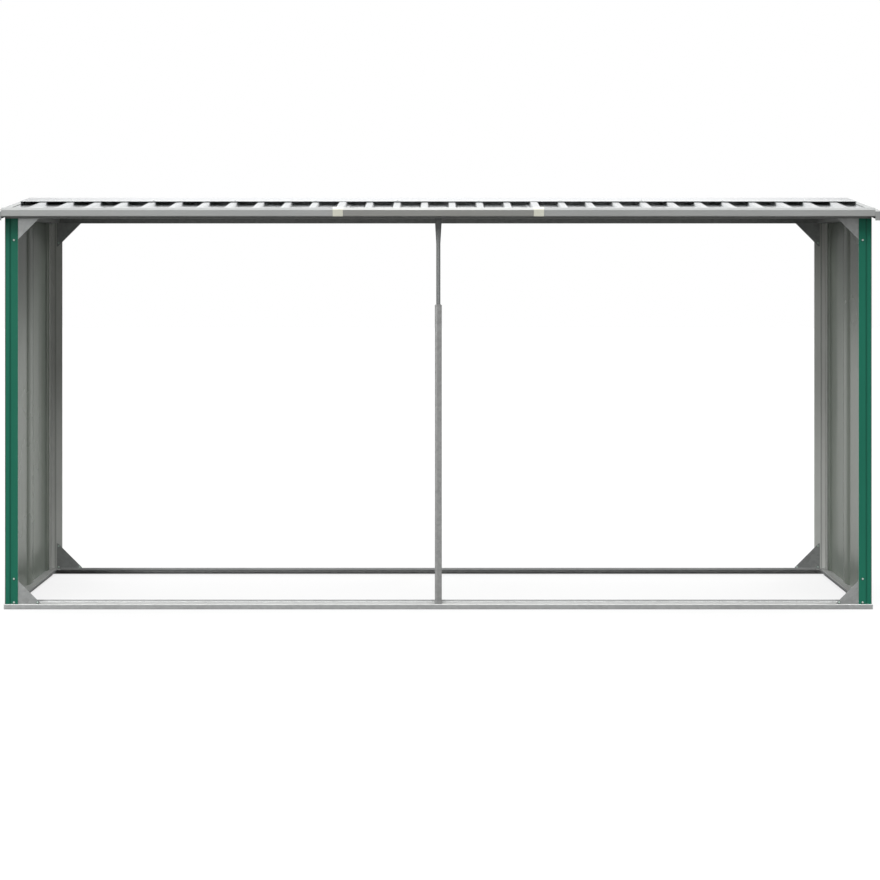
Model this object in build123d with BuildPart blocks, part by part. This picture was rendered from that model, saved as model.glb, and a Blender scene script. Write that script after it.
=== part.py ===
from build123d import *
import os
from math import atan2, cos, hypot, sin, tan

# Open-fronted log store of folded sheet steel: a base frame, corner posts, ribbed end walls, a top frame
# and a shallow ribbed roof whose ridge runs along its length.
# Millimetres, +Z up. The long open front faces -Y, and the origin is on the ground under the middle.

# Overall sizes: the frame, how far the roof reaches past it, and the underside of the roof at the eave
frame_length = 3240.0
frame_depth = 800.0
verge_overhang = 30.0
eave_overhang = 60.0
eave_height = 1483.5
ridge_rise = 56.0

# Sheet, its bends, and the gap between pieces that lie against each other
sheet = 1.5
bend_radius = 2.5
fit = 0.3

# Base rails, a little outside the posts: a foot, a face, a top and an upstand behind it
rail_height = 19.0
rail_width = 46.0
rail_foot = 30.0
rail_upstand = 9.0
rail_margin = 5.0

# Corner posts: angles with a pressed crease down the front face
post_width = 47.0
post_flange = 40.0
crease_inset = 18.0
crease_width = 5.5
crease_depth = 2.0

# Top beams: channels turned downwards over the post heads
beam_drop = 21.5
beam_width = 46.0
ridge_beam_width = 40.0
ridge_beam_height = 30.0

# Triangular corner plates, bolted behind the posts
lower_gusset_reach = 82.0
upper_gusset_reach = 73.0
gusset_lap = 23.0
gusset_tip = 5.0
gusset_foot = 14.0

# Middle supports: a sleeve on the base rail around a tube that goes up to the beam
sleeve_width = 26.0
sleeve_depth = 20.0
sleeve_corner = 5.0
sleeve_ridge_inset = 8.0
sleeve_ridge_rise = 1.2
rear_sleeve_drop = 24.0
strut_diameter = 15.5
strut_shown = 320.0
strut_lap = 140.0
head_taper = 78.0
head_drop = 17.0
head_width = 24.5
head_thickness = 4.0
head_flat = 0.1

# End walls: two sheets on each side, lapped over the middle rib
wall_edge_pan = 76.5
wall_rib_base = 103.0
wall_rib_top = 84.0
wall_rib_height = 9.0

# Roof sheets: three on each slope, lapped over a shared rib
roof_rib_pitch = 105.4
roof_rib_base = 40.0
roof_rib_top = 23.0
roof_rib_height = 10.0
roof_edge_pan = 90.0
centre_rib_count = 8
lap_lip = 12.0
ridge_gap = 3.0

# Ridge cap, lying on the rib tops
cap_inset = 30.0
cap_half_width = 160.0

# Eave trims, hooked over the rib ends, and the covers over their joints
fascia_face = 24.5
fascia_bevel = 8.5
fascia_bevel_rise = 7.0
fascia_flange = 18.0
fascia_return = 12.0
fascia_joint = 373.0
fascia_clearance = 6.0
cover_width = 38.0
cover_sheet = 2.0
cover_flange = 15.0

# Verge trims, hooked over the roof sheet at each gable end
verge_width = 28.0
verge_face = 34.0
verge_return = 12.0

# Sizes that follow from those above
half_length = frame_length / 2
half_depth = frame_depth / 2
roof_edge = half_length + verge_overhang
half_roof = half_depth + eave_overhang
beam_bottom = eave_height - beam_drop
slope = ridge_rise / half_roof
pitch_angle = atan2(ridge_rise, half_roof)
slope_length = hypot(half_roof, ridge_rise)
nest = sheet + fit
rail_face = half_depth + rail_margin
beam_face = half_depth + nest


def roof_under(y):
    """Height of the underside of the roof sheet at a distance y from the ridge line."""
    return eave_height + (half_roof - y) * slope


def above_ribs(y):
    """Height of the upper face of a sheet that lies on the lapped ribs, the highest on the roof."""
    return roof_under(y) + (roof_rib_height + sheet + 2 * nest) / cos(pitch_angle)


end_beam_top = roof_under(beam_face) - fit
post_top = end_beam_top - 2 * sheet
wall_top = (beam_bottom + end_beam_top) / 2
roof_end = half_roof - fascia_bevel - fascia_clearance


def folded(plane, outline, length, side, both=False, radius=bend_radius):
    """A sheet of one thickness, bent along an outline and run straight for a length."""
    with BuildPart() as piece:
        with BuildSketch(plane):
            with BuildLine():
                if radius:
                    bend = FilletPolyline(*outline, radius=radius)
                else:
                    bend = Polyline(*outline)
                offset(bend, amount=sheet, side=side, kind=Kind.INTERSECTION)
            make_face()
        extrude(amount=length, both=both)
    return piece


def mirrored(source, planes):
    """A piece as it stands on the other side of each of the planes."""
    for plane in planes:
        with BuildPart() as flipped:
            mirror(source.part, about=plane)
        source = flipped
    return source


def paired(source):
    """A piece together with its twin at the other end of the frame."""
    with BuildPart() as pair:
        add(source.part)
        mirror(source.part, about=Plane.YZ)
    return pair


def write(piece, name):
    piece.part.label = name
    export_step(piece.part, f"parts/{name}.step")


def rail_outline(face, inward):
    """Outline of a base rail, from its foot up to its upstand; inward is the sign of the way in."""
    back = face + inward * rail_width
    return [
        (face + inward * rail_foot, 0),
        (face, 0),
        (face, rail_height),
        (back, rail_height),
        (back, rail_height + rail_upstand),
    ]


def channel(near, far, bottom, near_top, far_top):
    """Outline of a channel turned downwards, from one lower edge over the top to the other."""
    return [(near, bottom), (near, near_top), (far, far_top), (far, bottom)]


def rib(centre, base, top, height):
    """Outline of one trapezoid rib, along the underside of its sheet."""
    return [
        (centre - base / 2, 0),
        (centre - top / 2, height),
        (centre + top / 2, height),
        (centre + base / 2, 0),
    ]


def lap_rib(centre, base, top, height):
    """Outline of a rib that nests over another, with a lip that lies on the sheet below."""
    flank = atan2(height, (base - top) / 2)
    half_top = top / 2 + nest * tan(flank / 2)
    near = half_top + height / tan(flank)
    far = half_top + (height + nest) / tan(flank)
    return [
        (centre - near - lap_lip, nest),
        (centre - near, nest),
        (centre - half_top, height + nest),
        (centre + half_top, height + nest),
        (centre + far, 0),
    ]


def gusset(plane, height, leg):
    """Right-angled corner plate behind a post, with blunt tips; it goes up or down with its leg's sign."""
    corner = half_length - post_width + gusset_lap
    rise = gusset_tip if leg > 0 else -gusset_tip
    with BuildPart() as piece:
        with BuildSketch(plane):
            Polygon(
                (corner, height),
                (corner, height + leg),
                (corner - gusset_tip, height + leg),
                (corner - abs(leg), height + rise),
                (corner - abs(leg), height),
                align=None,
            )
        extrude(amount=-sheet)
    return piece


# The two long sides and the two ends, each mirrored from the front and from the right
long_sides = {"front": (), "rear": (Plane.XZ,)}
ends = {"right": (), "left": (Plane.YZ,)}

# Base rails: the long ones run through the corners, where their upstand is cut away for the posts; the end
# ones reach out under the wall ribs
long_rail_end = half_length + rail_margin
end_rail_face = half_length + fit + wall_rib_height + sheet + nest
post_notch = post_width + rail_margin
with BuildPart() as long_rail:
    add(folded(Plane.YZ, rail_outline(-rail_face, 1), long_rail_end, Side.RIGHT, both=True).part)
    with BuildSketch(Plane.XY.offset(rail_height)):
        with Locations((long_rail_end, -rail_face), (-long_rail_end, -rail_face)):
            Rectangle(2 * post_notch, 2 * (rail_width + nest))
    extrude(amount=rail_upstand, mode=Mode.SUBTRACT)
end_rail = folded(
    Plane.XZ,
    rail_outline(end_rail_face, -1),
    rail_face - rail_width - nest,
    Side.LEFT,
    both=True,
)

# Corner posts
corner_post = folded(
    Plane.XY.offset(rail_height),
    [
        (half_length, post_flange - half_depth),
        (half_length, -half_depth),
        (half_length - crease_inset + crease_width / 2, -half_depth),
        (half_length - crease_inset, crease_depth - half_depth),
        (half_length - crease_inset - crease_width / 2, -half_depth),
        (half_length - post_width, -half_depth),
    ],
    post_top - rail_height,
    Side.RIGHT,
)

# Top beams, with the top folded to the pitch of the roof on the long sides
beam_back = beam_face - beam_width
long_beam = folded(
    Plane.YZ.offset(-half_length),
    channel(
        -beam_face,
        -beam_back,
        beam_bottom,
        roof_under(beam_face) - fit,
        roof_under(beam_back) - fit,
    ),
    frame_length,
    Side.RIGHT,
)
end_beam = folded(
    Plane.XZ,
    channel(half_length, half_length - beam_width, beam_bottom, end_beam_top, end_beam_top),
    beam_back - fit,
    Side.LEFT,
    both=True,
)
half_ridge_beam = ridge_beam_width / 2
ridge_beam_bottom = roof_under(half_ridge_beam) - ridge_beam_height
ridge_beam = folded(
    Plane.YZ.offset(-half_length),
    [
        (-half_ridge_beam, ridge_beam_bottom),
        (-half_ridge_beam, roof_under(half_ridge_beam) - fit),
        (0, roof_under(0) - fit),
        (half_ridge_beam, roof_under(half_ridge_beam) - fit),
        (half_ridge_beam, ridge_beam_bottom),
    ],
    frame_length,
    Side.RIGHT,
)

# Corner plates: the upper ones reach up inside the beam, the lower ones stand on the rail on a folded foot
gusset_plane = Plane.XZ.offset(half_depth - nest)
gusset_leg = lower_gusset_reach + gusset_lap
upper_gusset = gusset(gusset_plane, post_top, beam_bottom - post_top - upper_gusset_reach - gusset_lap)
with BuildPart() as lower_gusset:
    add(gusset(gusset_plane, rail_height, gusset_leg).part)
    with BuildSketch(Plane.XY.offset(rail_height)):
        with Locations((half_length - post_width + gusset_lap - gusset_leg, nest - half_depth)):
            Rectangle(gusset_leg, gusset_foot, align=Align.MIN)
    extrude(amount=sheet)

# Middle sleeves: channels open to the back, with a low ridge down the face and the upper corners cut off
sleeve_top = beam_bottom - strut_shown
half_sleeve = sleeve_width / 2


def sleeve(top):
    edge = sleeve_ridge_rise - beam_face
    with BuildPart() as piece:
        add(
            folded(
                Plane.XY.offset(rail_height),
                [
                    (-half_sleeve, sleeve_depth - beam_face),
                    (-half_sleeve, edge),
                    (sleeve_ridge_inset - half_sleeve, -beam_face),
                    (half_sleeve, edge),
                    (half_sleeve, sleeve_depth - beam_face),
                ],
                top - rail_height,
                Side.LEFT,
            ).part
        )
        with BuildSketch(Plane.XZ):
            Polygon(
                (-half_sleeve, rail_height),
                (half_sleeve, rail_height),
                (half_sleeve, top - sleeve_corner),
                (half_sleeve - sleeve_corner, top),
                (sleeve_corner - half_sleeve, top),
                (-half_sleeve, top - sleeve_corner),
                align=None,
            )
        extrude(amount=frame_depth, mode=Mode.INTERSECT)
    return piece


sleeves = {"front": sleeve(sleeve_top), "rear": sleeve(sleeve_top - rear_sleeve_drop)}

# Middle strut: a round tube in the sleeve, hammered flat where it goes up behind the beam
strut_radius = strut_diameter / 2
head_end = beam_bottom - head_drop
head_start = head_end - head_taper
tube_bottom = sleeve_top - strut_lap
tube_centre = (0, strut_radius + sleeve_ridge_rise / 2 - half_depth)
head_centre = (0, head_thickness / 2 - half_depth)
with BuildPart() as strut:
    with BuildSketch(Plane.XY.offset(tube_bottom)):
        with Locations(tube_centre):
            Circle(strut_radius)
            Circle(strut_radius - sheet, mode=Mode.SUBTRACT)
    extrude(amount=head_start - tube_bottom)
    with BuildSketch(Plane.XY.offset(head_start)):
        with Locations(tube_centre):
            RectangleRounded(strut_diameter, strut_diameter, strut_radius - head_flat)
    with BuildSketch(Plane.XY.offset(head_end)) as head_section:
        with Locations(head_centre):
            RectangleRounded(head_width, head_thickness, head_thickness / 2 - head_flat)
    loft()
    extrude(head_section.sketch, amount=post_top - head_end)

# End walls, standing on the rail outside the posts and reaching half way up the end beam
wall_plane = Plane(origin=(half_length + fit, 0, wall_top), x_dir=(0, 1, 0), z_dir=(0, 0, -1))
wall_rib_sizes = (wall_rib_base, wall_rib_top, wall_rib_height)
outer_rib = half_depth - wall_edge_pan - wall_rib_base / 2
wall_sheets = {
    "front": [(-half_depth, 0)] + rib(-outer_rib, *wall_rib_sizes) + rib(0, *wall_rib_sizes),
    "rear": lap_rib(0, *wall_rib_sizes) + rib(outer_rib, *wall_rib_sizes) + [(half_depth, 0)],
}

# Gable plate, from the wall sheets up to the roof
with BuildPart() as gable_plate:
    with BuildSketch(Plane.YZ.offset(half_length + fit)):
        Polygon(
            (-half_depth, wall_top + fit),
            (half_depth, wall_top + fit),
            (half_depth, roof_under(half_depth) - fit),
            (0, roof_under(0) - fit),
            (-half_depth, roof_under(half_depth) - fit),
            align=None,
        )
    extrude(amount=sheet)

# Roof sheets of the front slope, drawn across the ribs at the ridge and run down to the eave
down_slope = (0, -cos(pitch_angle), -sin(pitch_angle))
ridge_plane = Plane(origin=(0, 0, roof_under(0)), x_dir=(1, 0, 0), z_dir=down_slope)
roof_rib_sizes = (roof_rib_base, roof_rib_top, roof_rib_height)
lap_place = (centre_rib_count - 1) / 2 * roof_rib_pitch
side_rib_count = int((roof_edge - lap_place - roof_edge_pan) / roof_rib_pitch)
centre_sheet = []
for number in range(centre_rib_count):
    centre_sheet += rib(number * roof_rib_pitch - lap_place, *roof_rib_sizes)
side_sheet = lap_rib(lap_place, *roof_rib_sizes)
for number in range(side_rib_count):
    side_sheet += rib(lap_place + (number + 1) * roof_rib_pitch, *roof_rib_sizes)
side_sheet += [(roof_edge - nest, 0)]
roof_run = roof_end / cos(pitch_angle) - ridge_gap
roof_centre = folded(ridge_plane.offset(ridge_gap), centre_sheet, roof_run, Side.LEFT, radius=0)
roof_side = folded(ridge_plane.offset(ridge_gap), side_sheet, roof_run, Side.LEFT, radius=0)

# Ridge cap, with a plate under each end that closes it down to the roof sheet
cap_edge = above_ribs(cap_half_width)
cap_end = roof_edge - cap_inset
on_sheet = (sheet + fit) / cos(pitch_angle)
with BuildPart() as ridge_cap:
    add(
        folded(
            Plane.YZ,
            [(-cap_half_width, cap_edge), (0, above_ribs(0)), (cap_half_width, cap_edge)],
            cap_end,
            Side.RIGHT,
            both=True,
            radius=0,
        ).part
    )
    with BuildSketch(Plane.YZ.offset(cap_end)):
        Polygon(
            (-cap_half_width, roof_under(cap_half_width) + on_sheet),
            (0, roof_under(0) + on_sheet),
            (cap_half_width, roof_under(cap_half_width) + on_sheet),
            (cap_half_width, cap_edge),
            (0, above_ribs(0)),
            (-cap_half_width, cap_edge),
            align=None,
        )
    extrude(amount=-sheet)
    mirror(about=Plane.YZ)

# Eave trims: a face below a bevel, a flange on the rib tops and a return under the roof edge
bevel_place = half_roof - fascia_bevel
face_top = above_ribs(bevel_place) - fascia_bevel_rise
face_bottom = face_top - fascia_face
flange_end = bevel_place - fascia_flange
fascia_outline = [
    (fascia_return - half_roof, face_bottom),
    (-half_roof, face_bottom),
    (-half_roof, face_top),
    (-bevel_place, above_ribs(bevel_place)),
    (-flange_end, above_ribs(flange_end)),
]
fascia_end = roof_edge - verge_width - fit
centre_fascia = folded(
    Plane.YZ.offset(fit / 2 - fascia_joint), fascia_outline, 2 * fascia_joint - fit, Side.RIGHT
)
side_fascia = folded(
    Plane.YZ.offset(fascia_joint + fit / 2), fascia_outline, fascia_end - fascia_joint - fit / 2, Side.RIGHT
)

# Joint cover: a clip over the face, the bevel and the front of the flange
cover_end = bevel_place - cover_flange
with BuildPart() as joint_cover:
    with BuildSketch(Plane.YZ.offset(fascia_joint - cover_width / 2)):
        for thickness, mode in ((fit + cover_sheet, Mode.ADD), (fit, Mode.SUBTRACT)):
            with BuildLine():
                clip = Polyline(
                    (-half_roof, face_bottom),
                    (-half_roof, face_top),
                    (-bevel_place, above_ribs(bevel_place)),
                    (-cover_end, above_ribs(cover_end)),
                )
                offset(clip, amount=thickness, side=Side.LEFT, kind=Kind.INTERSECTION)
            make_face(mode=mode)
    extrude(amount=cover_width)

# Verge trim: a flange on the roof sheet, a face and a return, mitred at the ridge, with closed ends
verge_top = sheet + nest
verge_run = slope_length - verge_top * tan(pitch_angle)
with BuildPart() as verge_trim:
    add(
        folded(
            ridge_plane.offset(-verge_face),
            [
                (roof_edge - verge_width, verge_top),
                (roof_edge, verge_top),
                (roof_edge, verge_top - verge_face),
                (roof_edge - verge_return, verge_top - verge_face),
            ],
            verge_run + verge_face,
            Side.RIGHT,
            radius=0,
        ).part
    )
    with BuildSketch(ridge_plane.offset(verge_run - sheet)):
        with Locations((roof_edge - verge_width, verge_top - verge_face)):
            Rectangle(verge_width, verge_face, align=Align.MIN)
    extrude(amount=sheet)
    split(bisect_by=Plane.XZ, keep=Keep.TOP)
    mirror(about=Plane.XZ)

# Every piece in its place
os.makedirs("parts", exist_ok=True)
write(ridge_beam, "ridge_beam")
write(ridge_cap, "ridge_cap")
for side, across in long_sides.items():
    write(mirrored(long_rail, across), f"base_rail_{side}")
    write(mirrored(long_beam, across), f"top_beam_{side}")
    write(mirrored(paired(upper_gusset), across), f"upper_gussets_{side}")
    write(mirrored(paired(lower_gusset), across), f"lower_gussets_{side}")
    write(mirrored(sleeves[side], across), f"middle_sleeve_{side}")
    write(mirrored(strut, across), f"middle_strut_{side}")
    write(mirrored(roof_centre, across), f"roof_sheet_{side}_centre")
    write(mirrored(centre_fascia, across), f"eave_trim_{side}_centre")
    write(mirrored(paired(joint_cover), across), f"joint_covers_{side}")
    for end, along in ends.items():
        write(mirrored(corner_post, across + along), f"corner_post_{side}_{end}")
        write(mirrored(roof_side, across + along), f"roof_sheet_{side}_{end}")
        write(mirrored(side_fascia, across + along), f"eave_trim_{side}_{end}")
for end, along in ends.items():
    write(mirrored(end_rail, along), f"base_rail_{end}")
    write(mirrored(end_beam, along), f"top_beam_{end}")
    write(mirrored(gable_plate, along), f"gable_plate_{end}")
    write(mirrored(verge_trim, along), f"verge_trim_{end}")
    for place, outline in wall_sheets.items():
        wall = folded(wall_plane, outline, wall_top - rail_height, Side.LEFT, radius=0)
        write(mirrored(wall, along), f"wall_sheet_{end}_{place}")
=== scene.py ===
import math

import bmesh
import bpy
from mathutils import Matrix, Vector
from mathutils.bvhtree import BVHTree


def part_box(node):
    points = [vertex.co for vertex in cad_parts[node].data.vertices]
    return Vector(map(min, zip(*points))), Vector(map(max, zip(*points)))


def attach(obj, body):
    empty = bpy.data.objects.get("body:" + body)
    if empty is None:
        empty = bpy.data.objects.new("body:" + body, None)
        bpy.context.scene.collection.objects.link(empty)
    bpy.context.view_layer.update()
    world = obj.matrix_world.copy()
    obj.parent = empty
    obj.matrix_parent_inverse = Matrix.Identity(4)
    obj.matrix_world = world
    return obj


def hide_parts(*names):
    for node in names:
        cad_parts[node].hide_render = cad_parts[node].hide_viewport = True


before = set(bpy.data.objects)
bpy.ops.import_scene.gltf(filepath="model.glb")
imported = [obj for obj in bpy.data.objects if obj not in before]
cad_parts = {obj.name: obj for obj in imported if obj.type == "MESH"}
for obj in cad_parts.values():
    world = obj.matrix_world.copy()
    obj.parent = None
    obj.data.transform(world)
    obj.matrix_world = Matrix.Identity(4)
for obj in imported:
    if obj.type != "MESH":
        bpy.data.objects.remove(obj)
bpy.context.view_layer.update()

# Log store of folded sheet steel, seen from its open front.
# Metres, +Z up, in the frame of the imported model. The store stands on the floor, with its front towards -Y.

up = (0.0, 0.0, 1.0)
down = (0.0, 0.0, -1.0)
ends = (("left", -1), ("right", 1))
long_sides = (("front", -1), ("rear", 1))

# Camera: level, opposite the middle of the front, with its frame moved down to the store
camera_place = (0.0, -7.16, 1.284)
camera_lens = 73.9
camera_sensor = 36.0
camera_shift = (0.0019, -0.1977)
camera_far = 200.0

# Floor, and the soft room round it
floor_size = 60.0
floor_squares = 8
floor_gap = 0.0003
floor_pale = (0.10, 0.10, 0.10)
floor_glow = 0.80
floor_gloss = (0.27, 0.27, 0.266)
floor_bounce = (0.11, 0.11, 0.107)
room_white = (1.0, 1.0, 1.0)
sky_white = 1.0
sky_round = 0.30
sky_above = 0.5

# Lamps: strength, spread in degrees, and the way to each. Matt ones aren't mirrored; gloss ones only are.
lamps = {
    "key_left": (1.40, 30.0, (-0.30, -0.8, 1.0)),
    "key_right": (1.10, 30.0, (0.30, -0.8, 1.0)),
    "fill": (0.58, 24.0, (-0.36, -0.91, 0.22)),
    "top": (4.2, 50.0, (0.0, 0.05, 1.0)),
    "rear_left": (1.50, 30.0, (-0.65, 0.70, 0.45)),
    "rear_right": (1.55, 30.0, (0.65, 0.70, 0.45)),
    "glint": (0.185, 30.0, (0.0, 1.0, 0.36)),
}
matt_lamps = ("top", "rear_left", "rear_right")
gloss_lamps = ("glint",)

# Finishes, as linear colours
zinc_grey = (0.278, 0.286, 0.284)
# The beams' zinc is a darker copy of the other zinc: painted shade for their place under the roof
shaded_beam_grey = (0.17, 0.175, 0.172)
rail_grey = (0.362, 0.370, 0.370)
# The rails' tops are a lighter copy of their zinc: painted highlight
rail_top_highlight_grey = (0.47, 0.475, 0.468)
strut_grey = (0.21, 0.218, 0.218)
sleeve_grey = (0.275, 0.278, 0.276)
roof_grey = (0.49, 0.507, 0.515)
cap_grey = (0.68, 0.70, 0.71)
# The cap's underside is a darker, dull copy of its zinc: painted shade in the slots under the cap
cap_under_shade_grey = (0.45, 0.465, 0.465)
under_grey = (0.30, 0.31, 0.30)
trim_grey = (0.268, 0.274, 0.270)
lip_grey = (0.262, 0.269, 0.267)
# The middle front trim is a copy of the other trims with painted shade on its face and a painted highlight on
# its lip
middle_trim_shade_grey = (0.197, 0.198, 0.188)
middle_lip_highlight_grey = (0.36, 0.366, 0.358)
paint_green = (0.012, 0.118, 0.075)
back_grey = (0.50, 0.51, 0.49)
wall_grey = (0.157, 0.178, 0.153)
cover_cream = (0.48, 0.48, 0.41)
bolt_grey = (0.50, 0.60, 0.55)
# The ridge screws get a lighter copy of the bolts' plated steel: painted light for their place on the lit cap
lit_screw_grey = (0.78, 0.79, 0.78)
washer_black = (0.022, 0.024, 0.023)

# Painted shade on the pressed head of the struts under the eave: the heights where it starts and is full, and
# its share of the colour
strut_head_shade = (1.36, 1.43, 0.42)

# Painted shade along the crease of the posts: the crease's distance from the outer edge, the shade's reach on
# each side, and its share of the colour
crease_inset = 0.018
crease_reach = 0.0055
crease_shade = 0.62

# Detail of the noise, and the least share of a face's normal along a way for it to look that way
low_detail = 1.0
mid_detail = 2.0
full_detail = 3.0
facing_limit = 0.2

# Marks of the zinc: crystals, clouds, streaks along the rolling, and waves of the sheet.
# A mark has a size, a share by which it changes the tone or the gloss, and a depth as relief.
flake_size = 0.011
flake_share = 0.09
flake_depth = 0.000015
even_flake_share = 0.04
rail_flake_share = 0.05
zinc_cloud = 0.35
zinc_cloud_share = 0.08
zinc_cloud_gloss = 0.04
zinc_streak = 0.004
zinc_streak_share = 0.05
zinc_streak_depth = 0.00002
zinc_wave = 0.22
zinc_wave_depth = 0.0012
zinc_metal = 0.55
dull_metal = 0.1
lengthwise = (0.02, 1.0, 1.0)
crosswise = (1.0, 0.02, 1.0)
upright = (1.0, 1.0, 0.02)

# Marks of the paint: clouds, upright streaks and folds, waves of the sheet, and the grain of the coat
coat_cloud = 0.30
coat_cloud_share = 0.10
coat_cloud_gloss = 0.05
coat_streak = 0.03
coat_streak_share = 0.06
coat_streak_stretch = (1.0, 1.0, 0.06)
coat_fold = 0.06
coat_fold_stretch = (1.0, 1.0, 0.04)
coat_wave = 0.20
coat_wave_depth = 0.0010
coat_peel = 0.0016
coat_peel_depth = 0.00001
paint_roughness = 0.34

# Marks of the roof's trims
trim_cloud = 0.25
trim_cloud_share = 0.07
trim_streak = 0.012
trim_streak_share = 0.04
trim_streak_stretch = (0.05, 1.0, 1.0)
trim_grain = 0.0012
trim_grain_depth = 0.00001
trim_wave = 0.18
trim_wave_depth = 0.0010
trim_metal = 0.2
trim_roughness = (0.34, 0.46)

# Marks of the plastic and of the plated steel
plastic_cloud = 0.02
plastic_tones = (0.94, 1.05)
plastic_grain = 0.0009
plastic_grain_depth = 0.00004
plastic_roughness = (0.45, 0.60)
plated_grain = 0.0015
plated_grain_depth = 0.00002
plated_tones = (0.82, 1.08)
plated_roughness = (0.22, 0.36)
plated_metal = 0.45

# Rounded edges of the sheets
edge_width = 0.0005
edge_segments = 2
edge_angle = math.radians(35.0)
weld_distance = 0.00001

# Fasteners: domed heads on plastic washers, nuts behind the bolts, and blind rivets
turn_steps = 24
fastener_spin = 0.7
washer_radius = 0.0050
washer_height = 0.0008
head_radius = 0.0037
head_height = 0.0026
recess_radius = 0.0018
recess_depth = 0.0011
recess_taper = 0.7
cross_edge = 0.9
cross_core = 0.45
nut_radius = 0.0035
nut_height = 0.0032
shank_radius = 0.0020
shank_height = 0.0018
rivet_radius = 0.0032
rivet_height = 0.0014
smooth_angle = math.radians(32.0)

# Profiles of the fasteners, as shares of a radius and of a height
washer_profile = ((0.95, 0.0), (1.0, 0.3), (1.0, 0.7), (0.94, 1.0))
dome_profile = ((1.0, 0.30), (0.93, 0.62), (0.78, 0.87), (0.57, 1.0))
nut_flats = ((1.0, 0.0), (1.0, 0.85))
nut_crown = ((0.97, 1.0),)
thread_mouth = ((1.1, 1.0), (1.0, 0.9))
thread_end = ((1.0, 0.8), (0.8, 1.0))
rivet_profile = ((1.0, 0.0), (0.96, 0.45), (0.80, 0.85), (0.50, 1.0), (0.34, 0.97), (0.28, 0.55))

# Wall sheets: wide pans pressed outwards, a rounded rib in the lap of the two sheets and a land at each post
pan_depth = 0.009
rib_place = 0.045
rib_half = 0.050
rib_steps = 14
land_start = 0.332
land_end = 0.357
sheet_thickness = 0.0015
lap_gap = 0.0003
lap_lip = 0.012
crisp_angle = math.radians(12.0)

# Places of the bolts at the corners, from the edges of the corner plates
bolt_edge_inset = 0.008
bolt_tip_reach = 0.088
beam_bolt_drop = 0.012
foot_bolt_rise = 0.006
lower_bolt_drop = 0.011
upper_bolt_rise = 0.015

# Places of the wall screws: shares of the wall's height, distances from its middle,
# and the height of the upper ones over the gable plate's foot
screw_shares = (0.05, 0.275, 0.5, 0.725, 0.95)
post_screw_place = 0.380
gable_screw_places = (0.10, 0.30)
gable_screw_rise = 0.007

# Places of the roof fixings, counted in ribs from the middle or in metres from the ridge
rib_pitch = 0.1054
cap_ribs = (-13.5, -10.5, -7.5, -4.5, -1.5, 1.5, 4.5, 7.5, 10.5, 13.5)
cap_screw_place = 0.135
eave_ribs = (-14.5, -11.5, -8.5, -5.5, -2.5, 2.5, 5.5, 8.5, 11.5, 14.5)
eave_rivet_inset = 0.018
centre_trim_ribs = 3.6
verge_rivet_places = (0.07, 0.19, 0.31, 0.43)
verge_drop = 0.034

# Distance from the middle, outside the store, at which the lines towards the outer seats start
outside = 2.0


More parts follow.
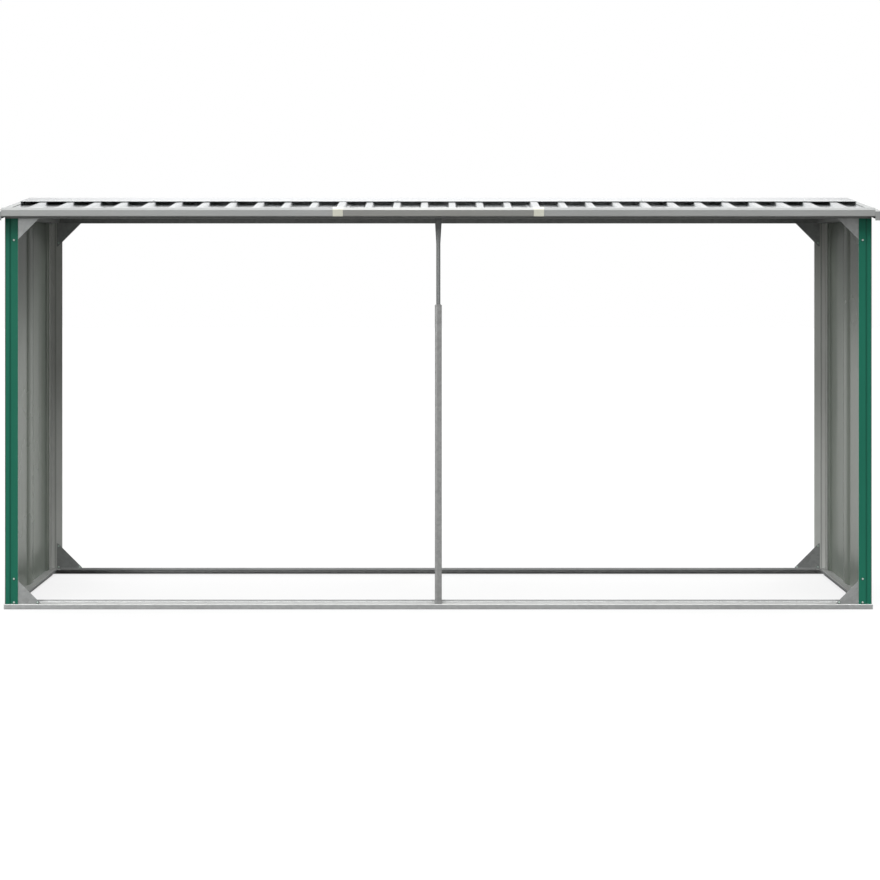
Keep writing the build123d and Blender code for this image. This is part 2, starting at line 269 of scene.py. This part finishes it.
class Finish:
    """One procedural material: a Principled shader and the nodes that feed it, in metres of the frame."""

    def __init__(self, name):
        self.material = bpy.data.materials.new(name)
        self.material.use_nodes = True
        self.tree = self.material.node_tree
        self.shader = self.tree.nodes["Principled BSDF"]
        self.place = self.node("ShaderNodeTexCoord").outputs["Object"]

    def node(self, kind, feeds=(), **settings):
        """Makes a node with its settings; feeds are numbers or links for its inputs."""
        made = self.tree.nodes.new(kind)
        for name, value in settings.items():
            setattr(made, name, value)
        for socket, value in dict(feeds).items():
            self.feed(made.inputs[socket], value)
        return made

    def feed(self, socket, value):
        if isinstance(value, bpy.types.NodeSocket):
            self.tree.links.new(value, socket)
        else:
            socket.default_value = value

    def set(self, **values):
        """Sets or links the shader's own sockets; a name's underscores stand for spaces."""
        for name, value in values.items():
            self.feed(self.shader.inputs[name.replace("_", " ")], value)

    def combine(self, a, b, operation="ADD"):
        return self.node("ShaderNodeMath", {0: a, 1: b}, operation=operation).outputs[0]

    def product(self, first, *others):
        for other in others:
            first = self.combine(first, other, "MULTIPLY")
        return first

    def between(self, value, low, high):
        """A value from 0 to 1, spread from low to high."""
        return self.node("ShaderNodeMapRange", {"Value": value, "To Min": low, "To Max": high}).outputs[0]

    def vary(self, value, share, centre=1.0):
        """A value from 0 to 1, spread by a share to each side of a centre."""
        return self.between(value, centre - share, centre + share)

    def upwards(self, low, high, share):
        """1 below a height, falling to a share of it above another."""
        height = self.node("ShaderNodeSeparateXYZ", {0: self.place}).outputs["Z"]
        feeds = {"Value": height, "From Min": low, "From Max": high, "To Min": 1.0, "To Max": share}
        return self.node("ShaderNodeMapRange", feeds).outputs[0]

    def beside(self, centre, reach, share):
        """A share at a distance along X from the middle, on both sides, growing to 1 within a reach."""
        across = self.node("ShaderNodeSeparateXYZ", {0: self.place}).outputs["X"]
        off = self.combine(self.combine(across, 0.0, "ABSOLUTE"), centre, "SUBTRACT")
        gap = self.combine(off, 0.0, "ABSOLUTE")
        feeds = {"Value": gap, "From Max": reach, "To Min": share, "To Max": 1.0}
        return self.node("ShaderNodeMapRange", feeds, interpolation_type="SMOOTHSTEP").outputs[0]

    def mix(self, factor, a, b):
        """From colour a to colour b."""
        made = self.node("ShaderNodeMix", {0: factor}, data_type="RGBA")
        self.feed(made.inputs[6], a)
        self.feed(made.inputs[7], b)
        return made.outputs[2]

    def tone(self, colour, value):
        """A colour made lighter or darker by a value round 1."""
        made = self.node("ShaderNodeMix", {0: 1.0}, data_type="RGBA", blend_type="MULTIPLY")
        self.feed(made.inputs[6], colour)
        self.feed(made.inputs[7], value)
        return made.outputs[2]

    def noise(self, size, detail=full_detail, stretch=(1.0, 1.0, 1.0)):
        """Soft noise whose blotches are about size metres, longer along an axis with a small stretch."""
        place = self.node("ShaderNodeMapping", {"Vector": self.place, "Scale": stretch}).outputs[0]
        feeds = {"Vector": place, "Scale": 1.0 / size, "Detail": detail}
        return self.node("ShaderNodeTexNoise", feeds).outputs[0]

    def flakes(self, size):
        """A random value for each crystal of a zinc coat."""
        shake = self.node("ShaderNodeTexNoise", {"Vector": self.place, "Scale": 1.0 / size}).outputs["Color"]
        bent = self.node("ShaderNodeMix", {0: size / 2}, data_type="VECTOR", blend_type="MIX")
        self.feed(bent.inputs[4], self.place)
        self.feed(bent.inputs[5], shake)
        cells = self.node("ShaderNodeTexVoronoi", {"Vector": bent.outputs[1], "Scale": 1.0 / size})
        return self.node("ShaderNodeSeparateColor", {0: cells.outputs["Color"]}).outputs[0]

    def relief(self, *layers):
        """Bump from layers of (height value, depth in metres), one over the other."""
        normal = None
        for height, depth in layers:
            bump = self.node("ShaderNodeBump", {"Height": height, "Strength": 1.0, "Distance": depth})
            if normal:
                self.feed(bump.inputs["Normal"], normal)
            normal = bump.outputs[0]
        self.set(Normal=normal)

    def facing(self, outward):
        """1 on faces whose own normal points along outward, and 0 on the backs and cut edges."""
        normal = self.node("ShaderNodeNewGeometry").outputs["True Normal"]
        along = self.node("ShaderNodeVectorMath", {0: normal, 1: outward}, operation="DOT_PRODUCT")
        return self.combine(along.outputs["Value"], facing_limit, "GREATER_THAN")

    def away(self, across):
        """The way out from the middle of the store: along X only, or along X and Y."""
        sign = self.node("ShaderNodeVectorMath", {0: self.place}, operation="SIGN").outputs["Vector"]
        out = self.node("ShaderNodeVectorMath", {0: sign, 1: across}, operation="MULTIPLY")
        return out.outputs["Vector"]


def rgba(colour):
    return (*colour, 1.0)


def zinc(
    name, colour, roughness, along, back=None, upper=None, head=None, metal=zinc_metal, spangle=flake_share
):
    """Zinc-coated sheet with faint crystals and rolling marks.

    back is a duller colour of all faces but those that look up, and upper a brighter one of these alone, a
    painted highlight on the tops.
    A pressed head gets painted shade, darker towards its top: head is where the shade starts, where it is
    full, and its share of the colour.
    """
    finish = Finish(name)
    flakes = finish.flakes(flake_size)
    cloud = finish.noise(zinc_cloud)
    streaks = finish.noise(zinc_streak, stretch=along)
    face = rgba(colour)
    if back:
        top = finish.facing(up)
        face = finish.mix(top, rgba(back), face)
        metal = finish.between(top, dull_metal, metal)
    # painted highlight: faces that look up get a lighter colour
    if upper:
        face = finish.mix(finish.facing(up), face, rgba(upper))
    shade = finish.product(
        finish.vary(flakes, spangle),
        finish.vary(cloud, zinc_cloud_share),
        finish.vary(streaks, zinc_streak_share),
    )
    # painted shade: the strut's head grows darker towards the top, under the eave
    if head:
        shade = finish.product(shade, finish.upwards(*head))
    rough = finish.combine(
        finish.vary(flakes, spangle / 2, centre=0.0),
        finish.vary(cloud, zinc_cloud_gloss, centre=roughness),
    )
    finish.set(Base_Color=finish.tone(face, shade), Metallic=metal, Roughness=rough)
    waves = finish.noise(zinc_wave, low_detail)
    finish.relief((waves, zinc_wave_depth), (streaks, zinc_streak_depth), (flakes, flake_depth))
    return finish.material


def coated(name, colour, back, across, gloss, back_roughness, fold_depth, crease=None):
    """Colour-coated sheet: paint outside, and a grey coat inside and on the cut edges.

    Shallow upright waves from the rolling show in its reflections, and a crease gets painted shade, a darker
    band along it.
    """
    finish = Finish(name)
    cloud = finish.noise(coat_cloud)
    peel = finish.noise(coat_peel, low_detail)
    paint = finish.facing(finish.away(across))
    face = finish.mix(paint, rgba(back), rgba(colour))
    streaks = finish.noise(coat_streak, stretch=coat_streak_stretch)
    shade = finish.product(finish.vary(cloud, coat_cloud_share), finish.vary(streaks, coat_streak_share))
    # painted shade: a darker band along the posts' crease
    if crease:
        shade = finish.product(shade, finish.beside(*crease))
    rough = finish.combine(
        finish.between(paint, back_roughness, paint_roughness),
        finish.vary(cloud, coat_cloud_gloss, centre=0.0),
    )
    finish.set(Base_Color=finish.tone(face, shade), Metallic=0.0, Roughness=rough, Specular_IOR_Level=gloss)
    folds = finish.noise(coat_fold, low_detail, coat_fold_stretch)
    waves = finish.noise(coat_wave, low_detail)
    finish.relief((waves, coat_wave_depth), (folds, fold_depth), (peel, coat_peel_depth))
    return finish.material


def trim(name, colour, upper):
    """Pale grey coated sheet of the roof's edges; upper is the colour of the faces that look up."""
    finish = Finish(name)
    cloud = finish.noise(trim_cloud)
    grain = finish.noise(trim_grain, mid_detail)
    streaks = finish.noise(trim_streak, stretch=trim_streak_stretch)
    face = finish.mix(finish.facing(up), rgba(colour), rgba(upper))
    shade = finish.product(finish.vary(cloud, trim_cloud_share), finish.vary(streaks, trim_streak_share))
    finish.set(
        Base_Color=finish.tone(face, shade),
        Metallic=trim_metal,
        Roughness=finish.between(cloud, *trim_roughness),
    )
    finish.relief((finish.noise(trim_wave, low_detail), trim_wave_depth), (grain, trim_grain_depth))
    return finish.material


def plastic(name, colour):
    """Moulded plastic with a fine grain."""
    finish = Finish(name)
    grain = finish.noise(plastic_grain, mid_detail)
    cloud = finish.noise(plastic_cloud)
    finish.set(
        Base_Color=finish.tone(rgba(colour), finish.between(cloud, *plastic_tones)),
        Roughness=finish.between(grain, *plastic_roughness),
    )
    finish.relief((grain, plastic_grain_depth))
    return finish.material


def bright_zinc(name, colour):
    """Bright plated steel of the bolts, screws, nuts and rivets."""
    finish = Finish(name)
    grain = finish.noise(plated_grain)
    finish.set(
        Base_Color=finish.tone(rgba(colour), finish.between(grain, *plated_tones)),
        Metallic=plated_metal,
        Roughness=finish.between(grain, *plated_roughness),
    )
    finish.relief((grain, plated_grain_depth))
    return finish.material


def dress(node, material):
    """Gives a node its finish and rounds its edges."""
    node.data.materials.clear()
    node.data.materials.append(material)
    weld = node.modifiers.new("weld", "WELD")
    weld.merge_threshold = weld_distance
    bevel = node.modifiers.new("edges", "BEVEL")
    bevel.width = edge_width
    bevel.segments = edge_segments
    bevel.limit_method = "ANGLE"
    bevel.angle_limit = edge_angle
    normals = node.modifiers.new("normals", "WEIGHTED_NORMAL")
    normals.keep_sharp = False


# One finish for each kind of node. The first kind that starts a node's name is the one that it gets.
post_crease_shade = (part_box("corner_post_front_right")[1].x - crease_inset, crease_reach, crease_shade)
even_zinc = {"metal": 1.0, "spangle": even_flake_share}
finishes = {
    "roof_sheet": zinc(
        "roof_zinc", roof_grey, roughness=0.22, along=crosswise, back=under_grey, **even_zinc
    ),
    # The cap's underside gets painted shade: a darker, dull copy of its zinc
    "ridge_cap": zinc(
        "cap_zinc", cap_grey, roughness=0.26, along=lengthwise, back=cap_under_shade_grey, **even_zinc
    ),
    "base_rail": zinc(
        "rail_zinc",
        rail_grey,
        roughness=0.40,
        along=lengthwise,
        upper=rail_top_highlight_grey,
        spangle=rail_flake_share,
    ),
    # The beams get painted shade: a darker copy of the zinc
    "top_beam": zinc("shaded_beam_zinc", shaded_beam_grey, roughness=0.42, along=lengthwise),
    "ridge_beam": zinc("shaded_ridge_zinc", shaded_beam_grey, roughness=0.42, along=lengthwise),
    "upper_gussets": zinc("gusset_zinc", zinc_grey, roughness=0.36, along=lengthwise),
    "middle_sleeve": zinc("sleeve_zinc", sleeve_grey, roughness=0.34, along=upright),
    "middle_strut": zinc("strut_zinc", strut_grey, roughness=0.38, along=upright, head=strut_head_shade),
    "corner_post": coated(
        "post_paint",
        paint_green,
        back_grey,
        across=(1.0, 1.0, 0.0),
        gloss=0.10,
        back_roughness=0.46,
        fold_depth=0.0006,
        crease=post_crease_shade,
    ),
    "wall_sheet": coated(
        "wall_paint",
        paint_green,
        wall_grey,
        across=(1.0, 0.0, 0.0),
        gloss=0.38,
        back_roughness=0.26,
        fold_depth=0.0022,
    ),
    # painted shade on the middle trim's face and painted highlight on its lip
    "eave_trim_front_centre": trim("middle_trim_shaded_coat", middle_trim_shade_grey, middle_lip_highlight_grey),
    "eave_trim": trim("trim_coat", trim_grey, lip_grey),
    "joint_covers": plastic("cover_plastic", cover_cream),
}
finishes["lower_gussets"] = finishes["upper_gussets"]
finishes["gable_plate"] = finishes["wall_sheet"]
finishes["verge_trim"] = finishes["eave_trim"]
bolt_finish = bright_zinc("bolt_zinc", bolt_grey)
# painted light: a lighter copy of the bolt steel for the screws on the cap
lit_screw_finish = bright_zinc("ridge_screw_lit_zinc", lit_screw_grey)
washer_finish = plastic("washer_plastic", washer_black)
for name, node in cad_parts.items():
    kind = next(kind for kind in finishes if name.startswith(kind))
    dress(node, finishes[kind])


def round_form(turn):
    return 1.0


def hex_form(turn):
    """Radius of a hexagon at an angle, for a distance of 1 from its middle to its flats."""
    sixth = math.pi / 3
    return 1.0 / math.cos(turn % sixth - sixth / 2)


def cross_form(turn):
    """Radius of a cross recess at an angle, for arms that reach to 1."""
    return 1.0 if abs(math.cos(2 * turn)) > cross_edge else cross_core


def rings_of(profile, radius, height, base=0.0, form=round_form):
    """Rings of a profile in shares of a radius and of a height above a base."""
    return [(radius * wide, base + height * high, form) for wide, high in profile]


def turned(mesh, rings, place):
    """Adds a closed body of rings of (radius, height, form), laid along the Z axis of place."""
    loops = []
    for radius, height, form in rings:
        loop = []
        for step in range(turn_steps):
            turn = 2 * math.pi * step / turn_steps
            reach = radius * form(turn)
            point = Vector((reach * math.cos(turn), reach * math.sin(turn), height))
            loop.append(mesh.verts.new(place @ point))
        loops.append(loop)
    for low, high in zip(loops, loops[1:]):
        for step in range(turn_steps):
            after = (step + 1) % turn_steps
            mesh.faces.new((low[step], low[after], high[after], high[step]))
    mesh.faces.new(reversed(loops[0]))
    mesh.faces.new(loops[-1])


def washer(mesh, place):
    """A thin plastic washer with rounded edges."""
    turned(mesh, rings_of(washer_profile, washer_radius, washer_height), place)


def pan_head(mesh, place):
    """A domed head with a cross recess, sitting on its washer."""
    top = washer_height + head_height
    rings = [(head_radius, washer_height / 2, round_form)]
    rings += rings_of(dome_profile, head_radius, head_height, base=washer_height)
    rings += [(recess_radius, top, cross_form)]
    rings += [(recess_radius * recess_taper, top - recess_depth, cross_form)]
    turned(mesh, rings, place)


def nut(mesh, place):
    """A hexagon nut with the end of its bolt."""
    rings = rings_of(nut_flats, nut_radius, nut_height, form=hex_form)
    rings += rings_of(nut_crown, nut_radius, nut_height)
    rings += rings_of(thread_mouth, shank_radius, nut_height)
    rings += rings_of(thread_end, shank_radius, shank_height, base=nut_height)
    turned(mesh, rings, place)


def rivet(mesh, place):
    """A low blind rivet with the dimple of its pin."""
    turned(mesh, rings_of(rivet_profile, rivet_radius, rivet_height), place)


def set_on(place, axis, spin=0.0):
    """A frame at a place with its Z axis along the axis."""
    turn = Vector(axis).to_track_quat("Z", "Y").to_matrix().to_4x4()
    return Matrix.Translation(Vector(place)) @ turn @ Matrix.Rotation(spin, 4, "Z")


def piece(name, mesh, material, sharp=smooth_angle):
    """Makes one object of a mesh, with edges sharper than an angle left sharp; it rides on the store."""
    data = bpy.data.meshes.new(name)
    mesh.to_mesh(data)
    mesh.free()
    data.materials.append(material)
    data.shade_smooth()
    data.set_sharp_from_angle(angle=sharp)
    made = bpy.data.objects.new(name, data)
    bpy.context.scene.collection.objects.link(made)
    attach(made, "root")
    return made


# What the fasteners sit on: the nodes or the pieces in their place, and the surfaces found on them
carriers = dict(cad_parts)
surfaces = {}


def bulge(centre, half, shares, lift=0.0):
    """Points across a rounded rib, as places along the wall and depths outwards; shares run from -1 to 1."""
    return [(centre + half * share, lift + pan_depth * (share ** 2 + share ** 6) / 2) for share in shares]


def wall_outline(side, edge):
    """The inner face of one wall sheet, from front to rear; the rear sheet laps over the front one's end."""
    rib_shares = [2 * step / rib_steps - 1 for step in range(rib_steps + 1)]
    rise = [share for share in rib_shares if share >= 0]
    land = land_end - land_start
    if side == "front":
        start = [(-edge, 0.0)] + bulge(-land_end, land, rise)
        return start + bulge(rib_place, rib_half, rib_shares)
    nest = sheet_thickness + lap_gap
    lap = [(rib_place - rib_half - lap_lip, pan_depth + nest)]
    lap += bulge(rib_place, rib_half, rib_shares, nest)
    lap += [(rib_place + rib_half + lap_lip, pan_depth)]
    return lap + bulge(land_end, land, [-share for share in reversed(rise)]) + [(edge, 0.0)]


def wall_skin(place, side, sign):
    """One end wall sheet with a rounded rib and lands, in the place of the plain ribbed one."""
    node = f"wall_sheet_{place}_{side}"
    low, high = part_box(node)
    inner = min(abs(low.x), abs(high.x))
    edge = max(abs(low.y), abs(high.y))
    section = ((0.0, low.z), (sheet_thickness, low.z), (sheet_thickness, high.z), (0.0, high.z))
    mesh = bmesh.new()
    rings = []
    for across, depth in wall_outline(side, edge):
        face = inner + depth
        ring = [mesh.verts.new((sign * (face + out), across, height)) for out, height in section]
        rings.append(ring)
    for ring, after in zip(rings, rings[1:]):
        for corner in range(4):
            turn = (corner + 1) % 4
            mesh.faces.new((ring[corner], ring[turn], after[turn], after[corner]))
    mesh.faces.new(rings[0])
    mesh.faces.new(rings[-1])
    bmesh.ops.recalc_face_normals(mesh, faces=mesh.faces)
    made = piece(f"wall_skin_{place}_{side}", mesh, finishes["wall_sheet"], crisp_angle)
    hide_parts(node)
    carriers[node] = made


def seat(name, start, way):
    """Where a line first meets a node, and the way out of its surface there."""
    if name not in surfaces:
        surfaces[name] = BVHTree.FromObject(carriers[name], bpy.context.evaluated_depsgraph_get())
    point, normal, _, _ = surfaces[name].ray_cast(Vector(start), Vector(way))
    return point, normal


def row(name, shape, seats, material):
    """One piece of like fasteners, each on its seat of a point and an axis."""
    mesh = bmesh.new()
    for number, (point, axis) in enumerate(seats):
        shape(mesh, set_on(point, axis, number * fastener_spin))
    piece(name, mesh, material)


def screws(name, seats):
    """Screws: a row of heads and a row of washers."""
    row(name, pan_head, seats, bolt_finish)
    row(f"{name}_washers", washer, seats, washer_finish)


def bolts(name, seats, backs):
    """Screws with a row of nuts on the far side of the sheets."""
    screws(name, seats)
    row(f"{name}_nuts", nut, backs, bolt_finish)


def corner_places(side):
    """The bolts of one long side: the node under each head, the node under its nut, and their X and Z."""
    low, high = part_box(f"lower_gussets_{side}")
    upper_low, upper_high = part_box(f"upper_gussets_{side}")
    lower_plates = f"lower_gussets_{side}"
    upper_plates = f"upper_gussets_{side}"
    beam = f"top_beam_{side}"
    edge = high.x - bolt_edge_inset
    tip = edge - bolt_tip_reach
    foot_height = low.z + foot_bolt_rise
    beam_height = upper_high.z - beam_bolt_drop
    places = []
    for place, end in ends:
        post = f"corner_post_{side}_{place}"
        places += [
            (post, lower_plates, end * edge, foot_height),
            (post, lower_plates, end * edge, high.z - lower_bolt_drop),
            (post, upper_plates, end * edge, upper_low.z + upper_bolt_rise),
            (beam, upper_plates, end * edge, beam_height),
            (beam, upper_plates, end * tip, beam_height),
            (lower_plates, lower_plates, end * tip, foot_height),
        ]
    places.append((beam, f"middle_strut_{side}", 0.0, beam_height))
    return places


def corner_bolts(side, sign):
    """Bolts through the posts, the beam and the corner plates of one long side."""
    places = corner_places(side)
    bolts(
        f"corner_bolts_{side}",
        [seat(front, (x, sign * outside, z), (0.0, -sign, 0.0)) for front, _, x, z in places],
        [seat(back, (x, 0.0, z), (0.0, sign, 0.0)) for _, back, x, z in places],
    )


def wall_screws(place, sign):
    """Screws of one end wall: into the posts, along the top into the end beam, and down the lap."""
    low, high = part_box(f"wall_sheet_{place}_front")
    gable_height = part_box(f"gable_plate_{place}")[0].z + gable_screw_rise
    heights = [low.z + (high.z - low.z) * share for share in screw_shares]
    places = []
    for side, way in long_sides:
        places += [(f"wall_sheet_{place}_{side}", way * post_screw_place, height) for height in heights]
        places += [(f"gable_plate_{place}", way * across, gable_height) for across in gable_screw_places]
    places += [(f"wall_sheet_{place}_rear", rib_place, height) for height in heights]
    inward = (-sign, 0.0, 0.0)
    screws(f"wall_screws_{place}", [seat(name, (sign * outside, y, z), inward) for name, y, z in places])


def ridge_screws():
    """Screws along both edges of the ridge cap, on the rib tops."""
    starts = [(rib_pitch * rib, way * cap_screw_place, outside) for rib in cap_ribs for way in (-1, 1)]
    seats = [seat("ridge_cap", start, down) for start in starts]
    row("ridge_screws", pan_head, seats, lit_screw_finish)


def trim_over(rib):
    """Which of the three trims of an eave is over a rib."""
    if abs(rib) < centre_trim_ribs:
        return "centre"
    return "left" if rib < 0 else "right"


def eave_seats(side, way):
    """Seats of the rivets along one eave."""
    low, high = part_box(f"eave_trim_{side}_centre")
    edge = low.y if way < 0 else high.y
    across = edge - way * eave_rivet_inset
    seats = []
    for rib in eave_ribs:
        seats.append(seat(f"eave_trim_{side}_{trim_over(rib)}", (rib_pitch * rib, across, outside), down))
    return seats


def verge_seats(place, sign):
    """Seats of the rivets down both slopes of one gable end."""
    low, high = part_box(f"verge_trim_{place}")
    seats = []
    for across in verge_rivet_places:
        fall = (high.z - low.z - verge_drop) * across / high.y
        height = high.z - verge_drop / 2 - fall
        for way in (-1, 1):
            start = (sign * outside, way * across, height)
            seats.append(seat(f"verge_trim_{place}", start, (-sign, 0.0, 0.0)))
    return seats


def trim_rivets():
    """Rivets in the trims round the roof."""
    seats = []
    for side, way in long_sides:
        seats += eave_seats(side, way)
    for place, sign in ends:
        seats += verge_seats(place, sign)
    row("trim_rivets", rivet, seats, bolt_finish)


for place, sign in ends:
    for side in ("front", "rear"):
        wall_skin(place, side, sign)
for side, sign in long_sides:
    corner_bolts(side, sign)
for place, sign in ends:
    wall_screws(place, sign)
ridge_screws()
trim_rivets()


def floor_material():
    """Matt and evenly pale to the camera; the light that it bounces back and its mirror image are weaker."""
    material = bpy.data.materials.new("floor_pale")
    material.use_nodes = True
    nodes = material.node_tree.nodes
    links = material.node_tree.links
    nodes.remove(nodes["Principled BSDF"])
    path = nodes.new("ShaderNodeLightPath")

    def matt(colour):
        made = nodes.new("ShaderNodeBsdfDiffuse")
        made.inputs["Color"].default_value = rgba(colour)
        return made.outputs[0]

    def chosen(ray, surface, otherwise):
        either = nodes.new("ShaderNodeMixShader")
        links.new(path.outputs[ray], either.inputs[0])
        links.new(otherwise, either.inputs[1])
        links.new(surface, either.inputs[2])
        return either.outputs[0]

    glow = nodes.new("ShaderNodeEmission")
    glow.inputs["Strength"].default_value = floor_glow
    pale = nodes.new("ShaderNodeAddShader")
    links.new(glow.outputs[0], pale.inputs[0])
    links.new(matt(floor_pale), pale.inputs[1])
    unseen = chosen("Is Glossy Ray", matt(floor_gloss), matt(floor_bounce))
    surface = chosen("Is Camera Ray", pale.outputs[0], unseen)
    links.new(surface, nodes["Material Output"].inputs["Surface"])
    return material


def lay_floor():
    """A wide plain floor just under the store."""
    mesh = bmesh.new()
    bmesh.ops.create_grid(mesh, x_segments=floor_squares, y_segments=floor_squares, size=floor_size / 2)
    data = bpy.data.meshes.new("floor")
    mesh.to_mesh(data)
    mesh.free()
    data.materials.append(floor_material())
    floor = bpy.data.objects.new("floor", data)
    floor.location.z = -floor_gap
    bpy.context.scene.collection.objects.link(floor)


def studio():
    """A soft room, brightest above the store; the camera itself sees plain white."""
    world = bpy.data.worlds.new("studio")
    world.use_nodes = True
    nodes = world.node_tree.nodes
    links = world.node_tree.links
    way = nodes.new("ShaderNodeSeparateXYZ")
    links.new(nodes.new("ShaderNodeTexCoord").outputs["Generated"], way.inputs[0])
    above = nodes.new("ShaderNodeMath")
    above.operation = "MAXIMUM"
    above.inputs[1].default_value = 0.0
    links.new(way.outputs["Z"], above.inputs[0])
    strength = nodes.new("ShaderNodeMath")
    strength.operation = "MULTIPLY_ADD"
    strength.inputs[1].default_value = sky_above
    strength.inputs[2].default_value = sky_round
    links.new(above.outputs[0], strength.inputs[0])
    room = nodes["Background"]
    room.inputs["Color"].default_value = rgba(room_white)
    links.new(strength.outputs[0], room.inputs["Strength"])
    white = nodes.new("ShaderNodeBackground")
    white.inputs["Color"].default_value = rgba(room_white)
    white.inputs["Strength"].default_value = sky_white
    either = nodes.new("ShaderNodeMixShader")
    links.new(nodes.new("ShaderNodeLightPath").outputs["Is Camera Ray"], either.inputs[0])
    links.new(room.outputs[0], either.inputs[1])
    links.new(white.outputs[0], either.inputs[2])
    links.new(either.outputs[0], nodes["World Output"].inputs["Surface"])
    return world


def set_lamps():
    """Wide soft suns round the store."""
    for name, (strength, spread, way) in lamps.items():
        data = bpy.data.lights.new(name, "SUN")
        data.energy = strength
        data.angle = math.radians(spread)
        lamp = bpy.data.objects.new(name, data)
        lamp.rotation_mode = "QUATERNION"
        lamp.rotation_quaternion = Vector(way).to_track_quat("Z", "Y")
        lamp.visible_glossy = name not in matt_lamps
        lamp.visible_diffuse = name not in gloss_lamps
        bpy.context.scene.collection.objects.link(lamp)


def set_camera():
    """A level camera that looks along +Y."""
    data = bpy.data.cameras.new("camera")
    data.lens = camera_lens
    data.sensor_width = camera_sensor
    data.shift_x, data.shift_y = camera_shift
    data.clip_end = camera_far
    camera = bpy.data.objects.new("camera", data)
    camera.location = camera_place
    camera.rotation_euler = (math.pi / 2, 0.0, 0.0)
    bpy.context.scene.collection.objects.link(camera)
    bpy.context.scene.camera = camera


lay_floor()
bpy.context.scene.world = studio()
set_lamps()
set_camera()
bpy.context.scene.view_settings.view_transform = "Standard"
